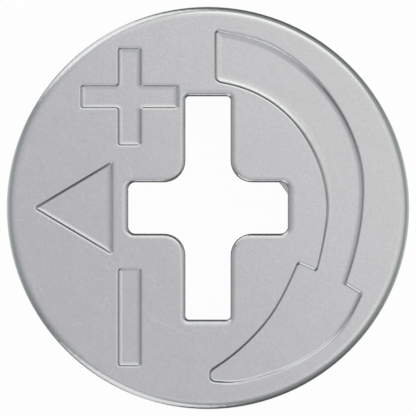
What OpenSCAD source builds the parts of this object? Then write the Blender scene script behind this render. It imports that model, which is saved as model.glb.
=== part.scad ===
// Cam of a furniture cam lock: one die-cast zinc piece for a 15 mm bore in a 16 mm board.
// It stands on its bottom rim with the face up. The origin is the centre of that rim,
// +Z points out of the face, and the bolt comes in along +X through the doorway on the -X side.
// Turned clockwise by its cross recess, it draws the bolt's head towards its centre.

/* [Body] */
// Outer diameter of the guide band, a sliding fit in the bore
body_d = 14.8; // [14:0.1:16]
// Height from the bottom rim to the face
body_h = 12.2; // [11.6:0.1:13.5]
// Radius on the rim of the face
rim_r = 0.35; // [0.1:0.05:0.5]
// Lead-in chamfer on the bottom rim
lead_in = 0.4; // [0.2:0.1:0.6]
// Step on the radius from the guide band under the face to the body below it
guide_step = 0.2; // [0.1:0.05:0.3]
// Metal between the top of the doorway and the guide band
crown = 0.3; // [0.2:0.1:0.6]

/* [Bolt] */
// Diameter of the bolt's ball head
head_d = 7; // [6.4:0.1:7.4]
// Clearance around the head in the doorway
head_gap = 0.2; // [0.1:0.05:0.3]
// Room between the head and the plate under the face
head_room = 0.35; // [0.35:0.05:0.6]
// Diameter of the bolt's neck
neck_d = 4.4; // [3.6:0.1:4.8]
// Clearance on each side of the neck in its slot
neck_gap = 0.3; // [0.1:0.05:0.4]
// Depth of the bolt's axis below the face
axis_depth = 8; // [7.5:0.1:8.5]

/* [Cam wall] */
// Turn from the bolt's entry to its locked place, in degrees
lock_turn = 192; // [180:1:200]
// Radius of the wall's inner side at the locked place
lock_r = 2.98; // [2.7:0.01:3.2]
// Change of that radius for each degree of turn
cam_rise = 0.02; // [0.015:0.001:0.022]
// Length of wall past the locked place, in degrees
ridge_turn = 24; // [18:1:30]
// Thickness of the plain wall behind the end of the cam wall
plain_wall = 2.5; // [2:0.1:2.8]

/* [Cross recess] */
// Length of the upright arms, end to end
cross_h = 8.2; // [7:0.1:8.8]
// Length of the level arms, end to end
cross_w = 5.86; // [5:0.02:6.4]
// Width of the upright arms
upright_w = 1.66; // [1.4:0.02:1.9]
// Width of the level arms
level_w = 1.88; // [1.5:0.02:2.1]
// Fillet in the four inner corners
cross_fillet = 0.76; // [0.2:0.02:0.9]
// Radius at the corners of the arm ends
cross_corner = 0.25; // [0.05:0.05:0.5]
// Depth of the recess below the plate, where it bites into the end of the cam wall
cross_run_on = 0.6; // [0.4:0.1:1]

/* [Marks] */
// Depth of the marks below the face
mark_depth = 0.25; // [0.15:0.05:0.4]
// Stroke width of the plus and minus signs
sign_stroke = 0.8; // [0.6:0.05:1]
// Length of the signs' strokes
sign_len = 3.55; // [3:0.05:3.8]
// Distance from the rim to the middle of a sign
sign_inset = 2.42; // [2.3:0.02:2.6]
// Angle between a sign and the pointer
sign_angle = 54.7; // [50:0.1:60]
// Corner radius of the signs
sign_corner = 0.12; // [0.02:0.02:0.2]
// Distance from the rim to the pointer's tip
pointer_inset = 1.03; // [0.8:0.01:1.2]
// Length of the pointer
pointer_len = 2.84; // [2.4:0.02:3.1]
// Width of the pointer at its base
pointer_w = 3.38; // [2.8:0.02:3.6]
// Corner radius of the pointer
pointer_corner = 0.1; // [0.02:0.02:0.2]
// Radius of the outer corner of the arrow's tail
tail_outer_r = 0.15; // [0.05:0.05:0.3]
// Radius of the inner corner of the arrow's tail
tail_inner_r = 0.35; // [0.05:0.05:0.4]
// Radius of the arrow's barbs
barb_r = 0.08; // [0.02:0.02:0.14]
// Radius of the arrow's tip
tip_r = 0.25; // [0.1:0.05:0.3]

/* [Hidden] */
$fn = 96;

// Metal colour of the casting
zinc = [0.74, 0.75, 0.76];
// Overrun of a cut past the surface it opens
over = 1;
// Steps of the curved edges: degrees along the cam wall, pieces along the arrow and round a corner
wall_step = 4;
shaft_steps = 16;
head_steps = 7;
corner_steps = 6;

body_r = body_d / 2;
lower_r = body_r - guide_step;
far = 2 * body_d;
axis_z = body_h - axis_depth;
ceiling_z = axis_z + head_d / 2 + head_room;
doorway_r = head_d / 2 + head_gap;
band_z = axis_z + doorway_r + crown;
slot_half = neck_d / 2 + neck_gap;

// Angles around the cam, counter-clockwise from +X, with the entry at 180
entry_turn = 180;
lock_angle = entry_turn + lock_turn;
ridge_angle = lock_angle + ridge_turn;
wall_angle = entry_turn + asin(doorway_r / body_r);
pocket_angle = entry_turn - asin(doorway_r / body_r);
pocket_r = body_r - plain_wall;

// Edges of the curved arrow as [angle, distance from the rim], from its tail to its tip
shaft_outer = [[87.4, 0.78], [58, 1.19], [29, 1.44], [0, 1.73], [-29.2, 1.58]];
shaft_inner = [[86.3, 2.74], [57, 2.89], [28, 3.02], [-1, 3.03], [-30.2, 2.84]];
head_outer = [[-29.4, 0.95], [-50, 0.79], [-70, 0.91], [-93.4, 0.95]];
head_inner = [[-31.6, 3.5], [-50, 3.14], [-70, 2.42], [-93.4, 0.95]];

function polar(r, a) = [r * cos(a), r * sin(a)];
function product(v, i = 0) = i < len(v) ? v[i] * product(v, i + 1) : 1;
function total(v) = v * [for (x = v) 1];

// Value at x of the smooth curve through the stations [x, y]
function through(stations, x) = total([
    for (i = [0 : len(stations) - 1])
        stations[i][1] * product([
            for (j = [0 : len(stations) - 1])
                if (j != i) (x - stations[j][0]) / (stations[i][0] - stations[j][0])
        ])
]);

// Points [x, y, corner radius] along one edge of the arrow, in n steps, rounded at its two ends
function arrow_edge(stations, n, first_r, last_r) = [
    for (i = [0 : n])
        let (
            span = stations[len(stations) - 1][0] - stations[0][0],
            a = stations[0][0] + span * i / n,
            p = polar(body_r - through(stations, a), a)
        )
        [p.x, p.y, i == 0 ? first_r : i == n ? last_r : 0]
];

// The same points from end to start, without the last ones
function backwards(points, left_out = 0) = [
    for (i = [len(points) - 1 - left_out : -1 : 0]) points[i]
];

// Arc of radius r that rounds the corner q between its neighbours p and s
function corner(p, q, s, r) =
    let (
        to_p = (p - q) / norm(p - q),
        to_s = (s - q) / norm(s - q),
        half = acos(to_p * to_s) / 2,
        middle = q + (to_p + to_s) / norm(to_p + to_s) * r / sin(half),
        from = q + to_p * r / tan(half) - middle,
        turn = cross(to_p, to_s) > 0 ? 2 * half - 180 : 180 - 2 * half,
        start = atan2(from.y, from.x)
    )
    [for (i = [0 : corner_steps]) middle + polar(r, start + turn * i / corner_steps)];

// Outline through points [x, y, corner radius], with its corners rounded
function rounded(points) = [
    for (i = [0 : len(points) - 1])
        let (
            n = len(points),
            p = points[(i + n - 1) % n],
            q = points[i],
            s = points[(i + 1) % n]
        )
        each q[2] > 0
            ? corner([p.x, p.y], [q.x, q.y], [s.x, s.y], q[2])
            : [[q.x, q.y]]
];

// Corner points of a cross with arms of two sizes
function cross_points(w, h, level, upright, end_r, inner_r) = [
    for (side = [[1, 1], [-1, 1], [-1, -1], [1, -1]])
        let (
            level_end = [side.x * w / 2, side.y * level / 2, end_r],
            inner = [side.x * upright / 2, side.y * level / 2, inner_r],
            upright_end = [side.x * upright / 2, side.y * h / 2, end_r]
        )
        each side.x * side.y > 0
            ? [level_end, inner, upright_end]
            : [upright_end, inner, level_end]
];

// Round blank with its lead-in, its guide band and the rolled rim of its face
module blank() {
    rotate_extrude() {
        polygon([
            [0, 0],
            [lower_r - lead_in, 0],
            [lower_r, lead_in],
            [lower_r, band_z - guide_step],
            [body_r, band_z],
            [body_r, body_h - rim_r],
            [body_r - rim_r, body_h],
            [0, body_h]
        ]);
        translate([body_r - rim_r, body_h - rim_r])
            circle(rim_r);
    }
}

// Room for the bolt's head, open at the bottom: its outer side is the spiral cam wall,
// which ends in a ridge, and past the ridge a round pocket behind the plain wall
module head_room_cut() {
    spiral = [
        for (a = [wall_angle : wall_step : ridge_angle - wall_step / 2])
            polar(lock_r + cam_rise * (lock_angle - a), a)
    ];
    ridge = [polar(lock_r - cam_rise * ridge_turn, ridge_angle)];
    pocket = [
        for (a = [ridge_angle - 360 : wall_step : pocket_angle])
            polar(pocket_r, a)
    ];
    translate([0, 0, -over])
        linear_extrude(ceiling_z + over)
            polygon(concat(spiral, ridge, pocket));
}

// Arched doorway in the side, where the bolt's head comes in
module doorway_cut() {
    translate([0, 0, axis_z])
        rotate([90, 0, -90])
            linear_extrude(body_r + over) {
                circle(doorway_r);
                translate([-doorway_r, -axis_z - over])
                    square([2 * doorway_r, axis_z + over]);
            }
}

// Slot in the wall for the bolt's neck, from the doorway round to the locked place
module neck_slot_cut() {
    translate([0, 0, axis_z - slot_half])
        linear_extrude(2 * slot_half) {
            polygon(concat(
                [[0, 0]],
                [for (i = [0 : 6]) polar(far, entry_turn + lock_turn * i / 6)]
            ));
            rotate(lock_angle)
                translate([0, -slot_half])
                    square([far, 2 * slot_half]);
        }
}

// Cross recess for the screwdriver, right through the plate
module cross_cut() {
    translate([0, 0, ceiling_z - cross_run_on])
        linear_extrude(body_h - ceiling_z + cross_run_on + over)
            polygon(rounded(cross_points(
                cross_w, cross_h, level_w, upright_w, cross_corner, cross_fillet)));
}

module plus_sign() {
    polygon(rounded(cross_points(
        sign_len, sign_len, sign_stroke, sign_stroke, sign_corner, sign_corner)));
}

module minus_sign() {
    x = sign_stroke / 2;
    y = sign_len / 2;
    polygon(rounded([for (p = [[x, y], [-x, y], [-x, -y], [x, -y]]) [p.x, p.y, sign_corner]]));
}

// Triangle that points to the side where the bolt comes in
module pointer() {
    tip_x = pointer_inset - body_r;
    base_x = tip_x + pointer_len;
    polygon(rounded([
        [tip_x, 0, pointer_corner],
        [base_x, -pointer_w / 2, pointer_corner],
        [base_x, pointer_w / 2, pointer_corner]
    ]));
}

// Curved arrow in the direction that locks
module turn_arrow() {
    polygon(rounded(concat(
        arrow_edge(shaft_outer, shaft_steps, tail_outer_r, 0),
        arrow_edge(head_outer, head_steps, barb_r, tip_r),
        backwards(arrow_edge(head_inner, head_steps, barb_r, 0), 1),
        backwards(arrow_edge(shaft_inner, shaft_steps, tail_inner_r, 0))
    )));
}

// Sunk marks on the face
module marks_cut() {
    sign_r = body_r - sign_inset;
    translate([0, 0, body_h - mark_depth])
        linear_extrude(mark_depth + over) {
            translate(polar(sign_r, entry_turn - sign_angle))
                plus_sign();
            translate(polar(sign_r, entry_turn + sign_angle))
                minus_sign();
            pointer();
            turn_arrow();
        }
}

module cam() {
    color(zinc)
        difference() {
            blank();
            head_room_cut();
            doorway_cut();
            neck_slot_cut();
            cross_cut();
            marks_cut();
        }
}

cam();
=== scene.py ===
import math
from collections import namedtuple

import bmesh
import bpy
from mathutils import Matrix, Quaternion, Vector


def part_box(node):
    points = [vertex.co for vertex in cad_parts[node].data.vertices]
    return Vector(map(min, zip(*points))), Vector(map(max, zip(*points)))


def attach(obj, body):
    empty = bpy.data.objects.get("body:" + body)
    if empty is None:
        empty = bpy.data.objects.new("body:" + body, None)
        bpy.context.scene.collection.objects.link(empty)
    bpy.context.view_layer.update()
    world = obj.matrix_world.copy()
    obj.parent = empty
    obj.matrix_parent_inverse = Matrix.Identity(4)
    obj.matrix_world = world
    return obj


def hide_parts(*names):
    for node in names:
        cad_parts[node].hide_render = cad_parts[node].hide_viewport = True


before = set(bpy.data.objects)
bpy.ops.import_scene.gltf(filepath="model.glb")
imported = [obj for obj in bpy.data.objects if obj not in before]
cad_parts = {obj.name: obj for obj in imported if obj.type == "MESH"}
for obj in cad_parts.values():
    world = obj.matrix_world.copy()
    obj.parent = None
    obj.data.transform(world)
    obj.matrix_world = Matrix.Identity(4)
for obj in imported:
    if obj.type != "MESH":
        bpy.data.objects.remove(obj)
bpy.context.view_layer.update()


# Casting blank
# The cam is one zinc die casting. Its outside is a short round body with a guide band under the face,
# a lead-in at its foot and a rolled rim. It is modelled in millimetres and brought to metres at the end.
mm_per_metre = 1000
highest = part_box("cam")[1]
body_r = highest.x * mm_per_metre
top = highest.z * mm_per_metre
guide_step = 0.2
guide_bottom = 8.2
lead_in = 0.4
rim_roll = (0.385, 0.25)
rim_tilt = 45
rim_corner = 0.05
rim_steps = 10
rim_corner_steps = 8
foot_round = 0.12
step_round = 0.03
round_segments = 4
level_slack = 1e-4

# At this number of steps, and with those in the bolt's room, no faces cross where its edges are rounded
round_steps = 136


def polar(r, angle):
    """Point at a distance and an angle in degrees, counter-clockwise from +X."""
    return Vector((r * math.cos(math.radians(angle)), r * math.sin(math.radians(angle))))


def roll(width, height, steps, steepest=90):
    """Offsets (across, down) along a rolled edge, from its flat end to the given tilt of its surface."""
    last = math.atan(width / height * math.tan(math.radians(steepest)))
    turns = [last * i / steps for i in range(steps + 1)]
    return [(width * math.sin(t), height * (1 - math.cos(t))) for t in turns]


def rim_rings():
    """Radius and height of the rings up the rim, from the outer wall to the flat face."""
    upper = roll(*rim_roll, rim_steps, rim_tilt)
    corner = roll(rim_corner, rim_corner, rim_corner_steps)[rim_corner_steps * rim_tilt // 90:]
    across, down = (end - start for end, start in zip(upper[-1], corner[0]))
    section = upper + [(across + x, down + z) for x, z in corner[1:]]
    width = section[-1][0]
    return [(body_r - width + x, top - z) for x, z in reversed(section)]


def start_edit():
    """Edit the active piece, with everything in it selected."""
    bpy.ops.object.mode_set(mode="EDIT")
    bpy.ops.mesh.select_all(action="SELECT")


def end_edit():
    """Turn the faces of the active piece outwards, and leave edit mode."""
    bpy.ops.mesh.select_all(action="SELECT")
    bpy.ops.mesh.normals_make_consistent(inside=False)
    bpy.ops.object.mode_set(mode="OBJECT")


def select_edges(piece, wanted):
    """In edit mode, select the edges that pass the test, and no others."""
    bpy.ops.mesh.select_mode(type="EDGE")
    bpy.ops.mesh.select_all(action="DESELECT")
    mesh = bmesh.from_edit_mesh(piece.data)
    for edge in mesh.edges:
        edge.select_set(wanted(edge))
    bmesh.update_edit_mesh(piece.data)


def on_level(edge, z):
    """Whether an edge lies level at the height z."""
    return all(abs(v.co.z - z) < level_slack for v in edge.verts)


bpy.ops.object.select_all(action="DESELECT")
lower_r = body_r - guide_step
step_bottom = guide_bottom - guide_step
wall_rings = [(lower_r - lead_in, 0), (lower_r, lead_in), (lower_r, step_bottom), (body_r, guide_bottom)]
wall_rounds = (foot_round, foot_round, step_round, step_round)
rings = wall_rings + rim_rings()
bpy.ops.mesh.primitive_circle_add(vertices=round_steps, radius=rings[0][0], fill_type="NGON")
cam = bpy.context.object
cam.name = cam.data.name = "cam_casting"
start_edit()
for (r, z), (next_r, next_z) in zip(rings, rings[1:]):
    bpy.ops.mesh.extrude_region_move(TRANSFORM_OT_translate={"value": (0, 0, next_z - z)})
    bpy.ops.transform.resize(value=(next_r / r, next_r / r, 1))
for (_, z), size in zip(wall_rings, wall_rounds):
    select_edges(cam, lambda edge: on_level(edge, z))
    bpy.ops.mesh.bevel(offset=size, segments=round_segments, affect="EDGES")
end_edit()


# Room for the bolt
# The bolt's ball head comes in through an arched doorway in the side and runs along a spiral wall,
# which draws it towards the middle as the cam turns. A slot in the wall lets the bolt's neck through.
# The casting tool forms these hollows from below and from the side, with slightly rounded edges.
axis_z = 4.2
doorway_r = 3.7
slot_half = 2.5
slot_reach = 4 * body_r
ceiling = 8.05
lock_r = 2.98
cam_rise = 0.02
entry_angle = 180
lock_angle = 372
ridge_angle = 396
pocket_r = 4.9
wall_step = 2
arch_step = 5
slot_step = 32
overrun = 1
sharp_angle = math.radians(35)
close_points = 0.004
close_edge_points = 0.035
sort_way = Vector((1, 0.618, 0.377))
edge_round = 0.04
edge_segments = 3


def cutter_from(outline, start, run):
    """A solid cutter: a flat outline of 2D points, placed by start(point), extruded along run."""
    bpy.ops.object.select_all(action="DESELECT")
    bpy.ops.mesh.primitive_circle_add(vertices=len(outline), fill_type="NGON")
    cutter = bpy.context.object
    for vertex, point in zip(cutter.data.vertices, outline):
        vertex.co = start(point)
    start_edit()
    bpy.ops.mesh.extrude_region_move(TRANSFORM_OT_translate={"value": run})
    end_edit()
    return cutter


def cut_away(piece, cutter):
    """Cut the cutter's shape out of the piece, and clear the cutter away."""
    modifier = piece.modifiers.new("cut", "BOOLEAN")
    modifier.operation = "DIFFERENCE"
    modifier.solver = "EXACT"
    modifier.object = cutter
    bpy.context.view_layer.objects.active = piece
    bpy.ops.object.modifier_apply(modifier="cut")
    bpy.data.objects.remove(cutter)


def sweep(first, last, step):
    """Angles from first to last in even steps of about the given size."""
    n = round((last - first) / step)
    return [first + (last - first) * i / n for i in range(n + 1)]


doorway_angle = math.degrees(math.asin(doorway_r / body_r))
spiral = [polar(lock_r + cam_rise * (lock_angle - a), a)
          for a in sweep(entry_angle + doorway_angle, ridge_angle, wall_step)]
pocket = [polar(pocket_r, a) for a in sweep(ridge_angle - 360, entry_angle - doorway_angle, wall_step)]
cut_away(cam, cutter_from(spiral + pocket, lambda p: (p.x, p.y, -overrun), (0, 0, ceiling + overrun)))

arch = [polar(doorway_r, a) for a in sweep(0, 180, arch_step)]
jambs = [Vector((-doorway_r, -axis_z - overrun)), Vector((doorway_r, -axis_z - overrun))]
cut_away(cam, cutter_from(arch + jambs, lambda p: (0, p.x, axis_z + p.y), (-body_r - overrun, 0, 0)))

along, beside = polar(1, lock_angle), polar(1, lock_angle + 90)
slot = [Vector((0, 0))] + [polar(slot_reach, a) for a in sweep(entry_angle, lock_angle, slot_step)]
slot += [slot_reach * along + slot_half * beside, slot_half * beside]
cut_away(cam, cutter_from(slot, lambda p: (p.x, p.y, axis_z - slot_half), (0, 0, 2 * slot_half)))


def room_edge(edge):
    """Whether an edge is a sharp one below the face plate."""
    below = max(v.co.z for v in edge.verts) < guide_bottom
    return below and edge.calc_face_angle() > sharp_angle


def put_in_order(piece):
    """In edit mode, put the points, edges and faces in an order that depends on their place alone.

    The cuts leave them in an order that changes from run to run, and joining close points goes by it.
    """
    mesh = bmesh.from_edit_mesh(piece.data)
    mesh.verts.sort(key=lambda v: v.co.dot(sort_way))
    mesh.edges.sort(key=lambda edge: (edge.verts[0].co + edge.verts[1].co).dot(sort_way))
    mesh.faces.sort(key=lambda face: face.calc_center_median().dot(sort_way))
    for elements in (mesh.verts, mesh.edges, mesh.faces):
        elements.index_update()
    bmesh.update_edit_mesh(piece.data)


# Join the points that lie too close together along the edges, and round the outward ones
start_edit()
put_in_order(cam)
bpy.ops.mesh.remove_doubles(threshold=close_points)
select_edges(cam, room_edge)
bpy.ops.mesh.remove_doubles(threshold=close_edge_points)
select_edges(cam, lambda edge: room_edge(edge) and edge.is_convex)
bpy.ops.mesh.bevel(offset=edge_round, segments=edge_segments, affect="EDGES", clamp_overlap=False)
end_edit()


# Cross recess
# A cross right through the face plate takes the screwdriver. Its upper edge is rolled in by the tumbling
# that cleans the castings, and at the end of one arm it bites into the end of the spiral wall.
cross_h = 8.2
cross_w = 5.86
upright_w = 1.66
level_w = 1.88
cross_fillet = 0.79
level_corner = 0.26
upright_corner = 0.14
cross_run_on = 0.6
cross_floor = ceiling - cross_run_on - top
cross_draft = 0.025
draft_height = 1
quarters = ((1, 1), (-1, 1), (-1, -1), (1, -1))
corner_steps = 8
roll_steps = 10
sharpest = 0.02

# Each side of a hollow has a roll at the face and a fillet at the floor. A roll's softness of 2 gives an
# ellipse, and less is more of a chamfer. The cross has no floor, so its fillet is turned outwards and
# stands for the draft of its walls. Each corner has a place, a radius and the side that follows it.
Side = namedtuple("Side", "roll_width roll_height softness fillet_width fillet_height")
Corner = namedtuple("Corner", "at r side")
cross_side = Side(0.19, 0.14, 2.2, -cross_draft, draft_height)
cross_end = Side(0.25, 0.14, 2.2, -cross_draft, draft_height)


def neighbours(corners, i):
    """The corners before and after the corner i of a closed outline."""
    return corners[i - 1], corners[(i + 1) % len(corners)]


def corner_arc(before, at, after, r):
    """Arc of radius r that rounds the corner between its two neighbours."""
    to_before, to_after = (before - at).normalized(), (after - at).normalized()
    half = to_before.angle(to_after) / 2
    middle = at + (to_before + to_after).normalized() * r / math.sin(half)
    arm = at + to_before * r / math.tan(half) - middle
    turn = math.pi - 2 * half
    if to_before.cross(to_after) > 0:
        turn = -turn
    start = math.atan2(arm.y, arm.x)
    turns = [start + turn * i / corner_steps for i in range(corner_steps + 1)]
    return [middle + polar(r, math.degrees(t)) for t in turns]


def rounded(corners):
    """Outline through the corners, each rounded by its radius."""
    outline = []
    for i, (at, r, _) in enumerate(corners):
        before, after = neighbours(corners, i)
        outline += corner_arc(before.at, at, after.at, r) if r else [at]
    return outline


def cross_corners(w, h, level, upright, level_r, upright_r, inner_r, side=None, end=None):
    """Corners of a cross with arms of two sizes, with the radii of the arms' ends and the inner corners."""
    corners = []
    for x, y in quarters:
        quarter = [
            (Vector((x * w / 2, y * level / 2)), level_r),
            (Vector((x * upright / 2, y * level / 2)), inner_r),
            (Vector((x * upright / 2, y * h / 2)), upright_r),
        ]
        in_order = quarter if x * y > 0 else quarter[::-1]
        corners += [Corner(at, r, kind) for (at, r), kind in zip(in_order, (side, side, end))]
    return corners


def left_over(part, softness=2):
    """Share of a rounded edge's width left at a part of its height: 1 by the flat, 0 by the wall."""
    return 1 - (1 - (1 - min(part, 1)) ** softness) ** (1 / softness)


def stand_out(side, z, floor):
    """How far a side stands out from its wall at the height z above the face.

    A height below the floor is a ring on the floor itself, that much further in.
    """
    out = side.roll_width * left_over(abs(z) / side.roll_height, side.softness)
    # Above the face the roll carries on upwards, so that the cut meets the face in a clean line
    if z > 0:
        out = 2 * side.roll_width - out
    fillet = side.fillet_width * left_over(max(z - floor, 0) / side.fillet_height)
    return out - fillet - max(floor - z, 0)


def grown(corners, z, floor):
    """The same corners, counter-clockwise, with every side moved to where it stands at the height z."""
    sizes = [stand_out(corner.side, z, floor) for corner in corners]
    moved = []
    for i, (at, r, side) in enumerate(corners):
        before, after = neighbours(corners, i)
        first, second = (at - before.at).normalized(), (after.at - at).normalized()
        size = (sizes[i - 1] + sizes[i]) / 2
        if r:
            turn = first.cross(second)
            place = at + (second * sizes[i - 1] - first * sizes[i]) / -turn
            r = max(sharpest, r + math.copysign(size, turn * size))
        else:
            first_out, second_out = Vector((first.y, -first.x)), Vector((second.y, -second.x))
            out = (first_out + second_out).normalized()
            place = at + out * size / out.dot(first_out)
        moved.append(Corner(place, r, side))
    return moved


def roll_levels(height):
    """Heights of the rings of a rolled edge, from just above the face down to the wall."""
    falls = [height * (1 - math.cos(math.pi / 2 * i / roll_steps)) for i in range(1, roll_steps + 1)]
    return [falls[0]] + [-fall for fall in falls]


def flared_cutter(corners, levels, floor):
    """A cutter with rings of the corners' outline at heights above the face, from the top down."""
    rings = [rounded(grown(corners, z, floor)) for z in levels]
    heights = [max(z, floor) for z in levels]
    cutter = cutter_from(rings[0], lambda p: (p.x, p.y, top + overrun), (0, 0, heights[0] - overrun))
    start_edit()
    bpy.ops.mesh.select_mode(type="FACE")
    bpy.ops.mesh.select_all(action="DESELECT")
    mesh = bmesh.from_edit_mesh(cutter.data)
    min(mesh.faces, key=lambda face: face.calc_center_median().z).select_set(True)
    bmesh.update_edit_mesh(cutter.data)
    # Extrude the lowest face from ring to ring, and move its points from the ring above to their own
    for i in range(1, len(levels)):
        above = [tuple(v.co.xy) for v in mesh.verts if v.select]
        order = [min(above, key=lambda xy: (Vector(xy) - p).length) for p in rings[i - 1]]
        fall = heights[i] - heights[i - 1]
        bpy.ops.mesh.extrude_region_move(TRANSFORM_OT_translate={"value": (0, 0, fall)})
        mesh = bmesh.from_edit_mesh(cutter.data)
        lowest = {tuple(v.co.xy): v for v in mesh.verts if v.select}
        for xy, p in zip(order, rings[i]):
            lowest[xy].co.xy = p
        bmesh.update_edit_mesh(cutter.data)
    end_edit()
    return cutter


cross = cross_corners(cross_w, cross_h, level_w, upright_w, level_corner, upright_corner, cross_fillet,
                      cross_side, cross_end)
cut_away(cam, flared_cutter(cross, roll_levels(cross_side.roll_height) + [cross_floor], cross_floor))


# Sunk marks
# The plus and minus signs, the pointer to the bolt's side and the arrow in the turning direction are
# sunk into the face by the casting tool, with a small roll at the top and a fillet round the floor.
mark_floor = -0.25
flat_ring = 0.02
sign_stroke = 0.825
sign_len = 3.565
plus_at = Vector((-2.883, 4.097))
minus_at = Vector((-2.883, -4.022))
outer_corner = 0.09
inner_corner = 0.1
pointer_gap = 1.03
pointer_len = 2.84
pointer_half = 1.69
pointer_corner = 0.06
tail_inner_r = 0.24
shaft_steps = 48
head_steps = 56

# Sides of the marks
sign_upright = Side(0.085, 0.04, 2.2, 0.16, 0.06)
sign_level = Side(0.085, 0.033, 2.2, 0.155, 0.042)
pointer_side = Side(0.095, 0.045, 2.2, 0.16, 0.06)
pointer_base = Side(0.13, 0.045, 2.2, 0.2, 0.06)
tail = Side(0.09, 0.06, 2.2, 0.26, 0.06)
barb = Side(0.12, 0.065, 1.6, 0.06, 0.06)
tip = Side(0.085, 0.055, 2.2, 0.09, 0.06)

# Edges of the arrow from its tail to its tip: the softness of the roll, and then rows of the angle, the
# distance from the rim, the roll's width and height, and the fillet's width and height
shaft_outer = 1.8, (
    (87.6, 0.93, 0.12, 0.05, 0.2, 0.04), (80, 0.972, 0.13, 0.055, 0.2, 0.04),
    (70, 1.035, 0.16, 0.075, 0.2, 0.04), (60, 1.14, 0.14, 0.07, 0.19, 0.04),
    (50, 1.26, 0.13, 0.07, 0.17, 0.05), (40, 1.36, 0.1, 0.07, 0.17, 0.05),
    (30, 1.445, 0.08, 0.07, 0.17, 0.05), (15, 1.565, 0.07, 0.07, 0.18, 0.05),
    (0, 1.73, 0.06, 0.08, 0.18, 0.05), (-13, 1.78, 0.06, 0.08, 0.18, 0.05),
    (-23, 1.725, 0.06, 0.08, 0.17, 0.05), (-29.2, 1.645, 0.06, 0.08, 0.15, 0.05))
shaft_inner = 2.2, (
    (86.6, 2.76, 0.085, 0.045, 0.3, 0.075), (57, 2.87, 0.085, 0.045, 0.34, 0.075),
    (28, 3.0, 0.08, 0.045, 0.29, 0.075), (-1, 3.02, 0.07, 0.045, 0.15, 0.075),
    (-12, 3.015, 0.065, 0.045, 0.1, 0.07), (-24, 2.905, 0.06, 0.045, 0.08, 0.06),
    (-30.2, 2.795, 0.06, 0.045, 0.08, 0.06))
head_outer = 1.7, (
    (-29.4, 0.955, 0.06, 0.06, 0.17, 0.06), (-37, 0.845, 0.09, 0.06, 0.14, 0.05),
    (-44, 0.8, 0.13, 0.065, 0.12, 0.04), (-51, 0.81, 0.12, 0.06, 0.1, 0.04),
    (-58, 0.825, 0.11, 0.05, 0.1, 0.04), (-72, 0.91, 0.1, 0.035, 0.1, 0.04),
    (-81, 0.915, 0.1, 0.03, 0.1, 0.04), (-86.6, 1.0, 0.09, 0.045, 0.09, 0.05))
head_inner = 2.2, tuple(
    (angle, gap, 0.06, 0.05, 0.08, 0.06)
    for angle, gap in ((-31.6, 3.535), (-45, 3.295), (-60, 2.82), (-74, 2.25), (-86, 1.62)))
blunt_tip = [Corner(Vector((0.07, -6.03)), 0.27, tip), Corner(Vector((0.07, -6.36)), 0.2, tip)]


def through(rows, x, column):
    """Value at x of the smooth curve through one column of the rows."""
    xs, ys = [row[0] for row in rows], [row[column] for row in rows]
    spans = [b - a for a, b in zip(xs, xs[1:])]
    slopes = [(b - a) / h for a, b, h in zip(ys, ys[1:], spans)]
    bends = [(slopes[i + 1] - slopes[i]) / (spans[i] + spans[i + 1]) for i in range(len(spans) - 1)]
    at = max(i for i in range(len(spans)) if i == 0 or (x - xs[i]) / spans[i] > 0)
    s, first, second = x - xs[at], bends[max(at - 1, 0)], bends[min(at, len(bends) - 1)]
    return ys[at] + slopes[at] * s + (first + (second - first) * s / spans[at]) * s * (s - spans[at])


def arrow_edge(edge, steps, first_r, last_r, beyond, backwards=False):
    """Corners along one edge of the arrow, which ends at the side beyond it."""
    softness, rows = edge
    angles = [rows[0][0] + (rows[-1][0] - rows[0][0]) * i / steps for i in range(steps + 1)]
    if backwards:
        angles.reverse()
    corners = []
    for i, a in enumerate(angles):
        gap, roll_width, roll_height, fillet_width, fillet_height = (
            through(rows, a, column) for column in range(1, len(rows[0])))
        side = Side(roll_width, roll_height, softness, fillet_width, fillet_height)
        r = first_r if i == 0 else last_r if i == steps else 0
        corners.append(Corner(polar(body_r - gap, a), r, beyond if i == steps else side))
    return corners


def line_in(corner, near, beyond):
    """A point and the direction of the straight line on which an edge runs in to a corner."""
    return near.at, corner.at - near.at if near.r else near.at - beyond.at


def clear_of_corners(corners):
    """Leave out the plain points that the arc of a rounded corner reaches past.

    The corner moves to the place where the rest of its two edges, carried on straight, would meet.
    """
    reaches = []
    for i, (at, r, side) in enumerate(corners):
        if r:
            before, after = neighbours(corners, i)
            to_before, to_after = before.at - at, after.at - at
            if to_before.cross(to_after) > 0:
                widest = r + max(before.side.fillet_width, side.fillet_width)
            else:
                widest = r + 2 * max(before.side.roll_width, side.roll_width)
            reaches.append((at, widest / math.tan(to_before.angle(to_after) / 2)))
    kept = [corner for corner in corners
            if corner.r or all((corner.at - p).length > reach for p, reach in reaches)]
    clear = []
    for i, corner in enumerate(kept):
        if corner.r:
            before, after = neighbours(kept, i)
            p, along = line_in(corner, before, kept[i - 2])
            q, across = line_in(corner, after, kept[(i + 2) % len(kept)])
            corner = corner._replace(at=p + along * (q - p).cross(across) / along.cross(across))
        clear.append(corner)
    return clear


def sign_at(middle, corners):
    """The corners of a sign, moved to its middle, with the kind of each side by the way it runs."""
    sign = []
    for i, (at, r, _) in enumerate(corners):
        _, after = neighbours(corners, i)
        run = after.at - at
        sign.append(Corner(middle + at, r, sign_level if abs(run.x) > abs(run.y) else sign_upright))
    return sign


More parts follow.
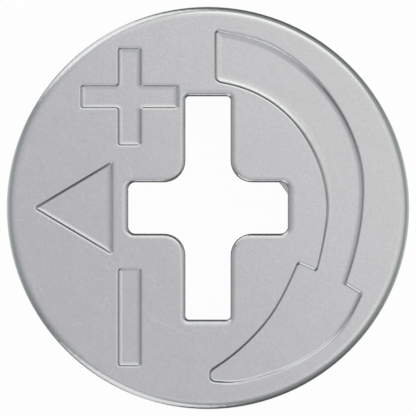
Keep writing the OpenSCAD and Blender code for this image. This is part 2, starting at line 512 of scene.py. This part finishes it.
plus = sign_at(plus_at, cross_corners(sign_len, sign_len, sign_stroke, sign_stroke,
                                      outer_corner, outer_corner, inner_corner))
minus = sign_at(minus_at, [Corner(Vector((x * sign_stroke / 2, y * sign_len / 2)), outer_corner, None)
                           for x, y in quarters])
tip_x = pointer_gap - body_r
base_x = tip_x + pointer_len
pointer = [Corner(Vector((tip_x, 0)), pointer_corner, pointer_side),
           Corner(Vector((base_x, -pointer_half)), pointer_corner, pointer_base),
           Corner(Vector((base_x, pointer_half)), pointer_corner, pointer_side)]
turn_arrow = clear_of_corners(
    arrow_edge(shaft_inner, shaft_steps, tail_inner_r, inner_corner, barb)
    + arrow_edge(head_inner, head_steps, outer_corner, 0, tip)
    + blunt_tip
    + arrow_edge(head_outer, head_steps, 0, outer_corner, barb, backwards=True)
    + arrow_edge(shaft_outer, shaft_steps, inner_corner, outer_corner, tail, backwards=True))
for mark in (plus, minus, pointer, turn_arrow):
    highest_roll = max(corner.side.roll_height for corner in mark)
    highest_fillet = max(corner.side.fillet_height for corner in mark)
    rises = [mark_floor - z for z in roll_levels(highest_fillet)[:0:-1]]
    levels = roll_levels(highest_roll) + rises + [mark_floor, mark_floor - flat_ring]
    cut_away(cam, flared_cutter(mark, levels, mark_floor))

# Bring the casting to metres, with its flat faces keeping their own normals
cut_slack = 0.0005
smooth_angle = math.radians(40)
start_edit()
put_in_order(cam)
bpy.ops.mesh.remove_doubles(threshold=cut_slack)
bpy.ops.transform.resize(value=(1 / mm_per_metre,) * 3, center_override=(0, 0, 0))
end_edit()
bpy.ops.object.shade_smooth_by_angle(angle=smooth_angle)
weighted = cam.modifiers.new("flat faces", "WEIGHTED_NORMAL")
weighted.keep_sharp = True
bpy.ops.object.modifier_apply(modifier="flat faces")


# Zinc finish
# Bare die-cast zinc, tumbled to a satin grey. It has a fine cast grain, a faint mottle and a few hair
# scratches, most of them on the side where the bolt comes in and none on the floors of the marks.
class Wire:
    """A shader socket that takes part in Python sums and adds nodes to its tree."""

    def __init__(self, tree, socket=None):
        self.tree = tree
        self.socket = socket

    def add(self, kind, settings, inputs, output=0):
        """A node of a kind with its settings, the values or wires of its sockets, and one output."""
        node = self.tree.nodes.new("ShaderNode" + kind)
        for name, value in settings.items():
            setattr(node, name, value)
        for name, value in inputs.items():
            if isinstance(value, Wire):
                self.tree.links.new(value.socket, node.inputs[name])
            else:
                node.inputs[name].default_value = value
        return Wire(self.tree, node.outputs[output] if node.outputs else None)

    def sum(self, operation, first, second):
        """A Math node on two values or wires."""
        return self.add("Math", {"operation": operation}, {0: first, 1: second})

    def __add__(self, other):
        return self.sum("ADD", self, other)

    def __radd__(self, other):
        return self.sum("ADD", other, self)

    def __sub__(self, other):
        return self.sum("SUBTRACT", self, other)

    def __rsub__(self, other):
        return self.sum("SUBTRACT", other, self)

    def __mul__(self, other):
        return self.sum("MULTIPLY", self, other)

    def __rmul__(self, other):
        return self.sum("MULTIPLY", other, self)


zinc_dark = (0.49, 0.495, 0.5, 1)
zinc_light = (0.615, 0.62, 0.625, 1)
zinc_scratched = (0.605, 0.61, 0.615, 1)
mottle_scale = 1.1
grain_scale = 12.0
mottle_share = 0.35
least_rough = 0.16
rough_spread = 0.05
bump_strength = 0.15
bump_depth = 0.00001
worn_x = -4.0
unworn_x = 3.0
least_worn = 0.15
floor_slack = 0.05
patch_scale = 2.4
patch_from = 0.56
patch_to = 0.66
zinc = bpy.data.materials.new("cast_zinc")
zinc.use_nodes = True
zinc.node_tree.nodes.clear()
wire = Wire(zinc.node_tree)
place = wire.add("TexCoord", {}, {}, "Object")
place = wire.add("Mapping", {}, {"Vector": place, "Scale": (mm_per_metre,) * 3})
mottle = wire.add("TexNoise", {}, {"Vector": place, "Scale": mottle_scale, "Detail": 4.0, "Roughness": 0.6})
grain = wire.add("TexNoise", {}, {"Vector": place, "Scale": grain_scale, "Detail": 2.0, "Roughness": 0.6})
across = wire.add("SeparateXYZ", {}, {0: place}, "X")
worn_side = wire.add("MapRange", {}, {"Value": across, "From Min": unworn_x, "From Max": worn_x,
                                      "To Min": least_worn})
up = wire.add("SeparateXYZ", {}, {0: place}, "Z")
sunk = wire.add("Math", {"operation": "COMPARE"}, {0: up, 1: top + mark_floor, 2: floor_slack})


def hair_scratches(scale, turn, width):
    """Mask of straight scratches, from parts of the walls between random cells.

    The scale is in cells to the millimetre, the turn in radians and the width in millimetres.
    """
    turned = wire.add("Mapping", {}, {"Vector": place, "Rotation": turn, "Scale": (scale,) * 3})
    to_wall = wire.add("TexVoronoi", {"feature": "DISTANCE_TO_EDGE"}, {"Vector": turned, "Scale": 1.0},
                       "Distance")
    line = wire.add("MapRange", {}, {"Value": to_wall, "From Min": 0.0, "From Max": width * scale,
                                     "To Min": 1.0, "To Max": 0.0})
    patch = wire.add("TexNoise", {}, {"Vector": turned, "Scale": patch_scale, "Detail": 0.0})
    return line * wire.add("MapRange", {}, {"Value": patch, "From Min": patch_from, "From Max": patch_to})


long_scratches = hair_scratches(0.5, (0.3, 0.9, 0.2), 0.02)
middling_scratches = hair_scratches(0.7, (1.1, 0.4, 1.3), 0.016)
short_scratches = hair_scratches(1.0, (2.0, 1.4, 0.7), 0.016)
scratches = worn_side * (1 - sunk) * (long_scratches + middling_scratches + short_scratches)
spots = mottle_share * mottle + (1 - mottle_share) * grain
cast = wire.add("Mix", {"data_type": "RGBA"}, {"Factor": spots, "A": zinc_dark, "B": zinc_light}, "Result")
colour = wire.add("Mix", {"data_type": "RGBA"}, {"Factor": scratches, "A": cast, "B": zinc_scratched},
                  "Result")
roughness = least_rough + rough_spread * mottle
bump = wire.add("Bump", {}, {"Strength": bump_strength, "Distance": bump_depth, "Height": grain})
zinc_shader = wire.add("BsdfPrincipled", {}, {"Metallic": 1.0, "Base Color": colour, "Roughness": roughness,
                                              "Normal": bump})
wire.add("OutputMaterial", {}, {"Surface": zinc_shader})
cam.data.materials.clear()
cam.data.materials.append(zinc)
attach(cam, "root")
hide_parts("cam")


# Floor
# A plain white table that the cam stands on. What the lens and the metal see of it is mostly an even
# white, and the rest is matt paint that takes the cam's shadow.
floor_size = 2
floor_white = (0.9, 0.9, 0.9, 1)
floor_even = 0.97
bpy.ops.object.select_all(action="DESELECT")
bpy.ops.mesh.primitive_plane_add(size=floor_size)
floor = bpy.context.object
floor.name = "floor"
paint = bpy.data.materials.new("white_table")
paint.use_nodes = True
paint.node_tree.nodes.clear()
wire = Wire(paint.node_tree)
seen = wire.add("LightPath", {}, {}, "Is Camera Ray")
mirrored = wire.add("LightPath", {}, {}, "Is Glossy Ray")
let_through = wire.add("LightPath", {}, {}, "Is Transmission Ray")
matt = wire.add("BsdfDiffuse", {}, {"Color": floor_white})
even = wire.add("Emission", {}, {"Color": (1, 1, 1, 1), "Strength": 1.0})
share = floor_even * (seen + mirrored + let_through)
wire.add("OutputMaterial", {}, {"Surface": wire.add("MixShader", {}, {0: share, 1: matt, 2: even})})
floor.data.materials.append(paint)


# Light
# Soft studio light from five lamps: two sheets above the face, a box at its upper right and two strips
# low on its left. Around them are a pale ceiling and dark walls that get lighter to the left and right.
lamp_white = (1, 1, 1)
sheet_tint = (1, 1, 0.86)
sky_colour = (1.0, 0.978, 1.035, 1)
haze_colour = (0.97, 1.0, 1.02, 1)
wall_colour = (0.93, 1.0, 1.02, 1)
sky_level = 0.803
wall_level = 0.09
side_level = 0.9
back_lift = 0.35
haze_height = 0.9
sky_height = 0.99


def soft_box(name, azimuth, elevation, lean, distance, width, height, brightness, colour):
    """An even rectangular lamp that faces the middle of the cam's face."""
    a, e = math.radians(azimuth), math.radians(elevation)
    middle = Vector((0, 0, top / mm_per_metre))
    away = Vector((math.cos(e) * math.cos(a), math.cos(e) * math.sin(a), math.sin(e)))
    bpy.ops.object.light_add(type="AREA", location=middle + away * distance)
    lamp = bpy.context.object
    lamp.name = name
    facing = away.to_track_quat("Z", "Y") @ Quaternion((0, 0, 1), math.radians(lean))
    lamp.rotation_euler = facing.to_euler()
    lamp.data.shape = "RECTANGLE"
    lamp.data.size = width
    lamp.data.size_y = height
    lamp.data.color = colour
    lamp.data.energy = brightness * math.pi * width * height
    lamp.visible_camera = False


# Azimuth, elevation and lean in degrees, then distance, width and height in metres, and brightness
soft_box("overhead_sheet", 35, 72, 0, 0.1, 0.12, 0.062, 0.3, sheet_tint)
soft_box("front_sheet", 285, 71, 0, 0.1, 0.06, 0.033, 0.2, lamp_white)
soft_box("main_box", 67, 59, 0, 0.12, 0.068, 0.039, 0.68, lamp_white)
soft_box("back_strip", 121, 28, 27, 0.12, 0.085, 0.1, 1.05, lamp_white)
soft_box("front_strip", 248, 29, -32, 0.12, 0.085, 0.095, 1.0, lamp_white)

world = bpy.data.worlds.new("studio")
bpy.context.scene.world = world
world.use_nodes = True
world.node_tree.nodes.clear()
wire = Wire(world.node_tree)
look = wire.add("TexCoord", {}, {}, "Generated")
sideways = wire.add("SeparateXYZ", {}, {0: look}, "X")
backward = wire.add("SeparateXYZ", {}, {0: look}, "Y")
height = wire.add("SeparateXYZ", {}, {0: look}, "Z")
above = height * height * (1 + back_lift * backward)
to_sides = sideways * sideways
wall_strength = wall_level + side_level * to_sides * to_sides * to_sides
walls = wire.add("Background", {}, {"Color": wall_colour, "Strength": wall_strength})
overhead = wire.add("MapRange", {}, {"Value": height, "From Min": haze_height, "From Max": sky_height})
shade = wire.add("Mix", {"data_type": "RGBA"}, {"Factor": overhead, "A": haze_colour, "B": sky_colour},
                 "Result")
sky = wire.add("Background", {}, {"Color": shade, "Strength": sky_level})
wire.add("OutputWorld", {}, {"Surface": wire.add("MixShader", {}, {0: above, 1: walls, 2: sky})})


# Camera
# It looks straight down on the face from far off, so that the walls of the cross hardly show. The plus
# sign is at the top left, and the rim almost fills the frame.
camera_far = 0.6
view_width = 0.015293
bpy.ops.object.camera_add(location=(0, 0, top / mm_per_metre + camera_far), rotation=(0, 0, 0))
camera = bpy.context.object
camera.data.sensor_width = 36
camera.data.lens = camera.data.sensor_width * camera_far / view_width
camera.data.clip_start = 0.01
camera.data.clip_end = 10
bpy.context.scene.camera = camera
bpy.context.scene.view_settings.view_transform = "Standard"
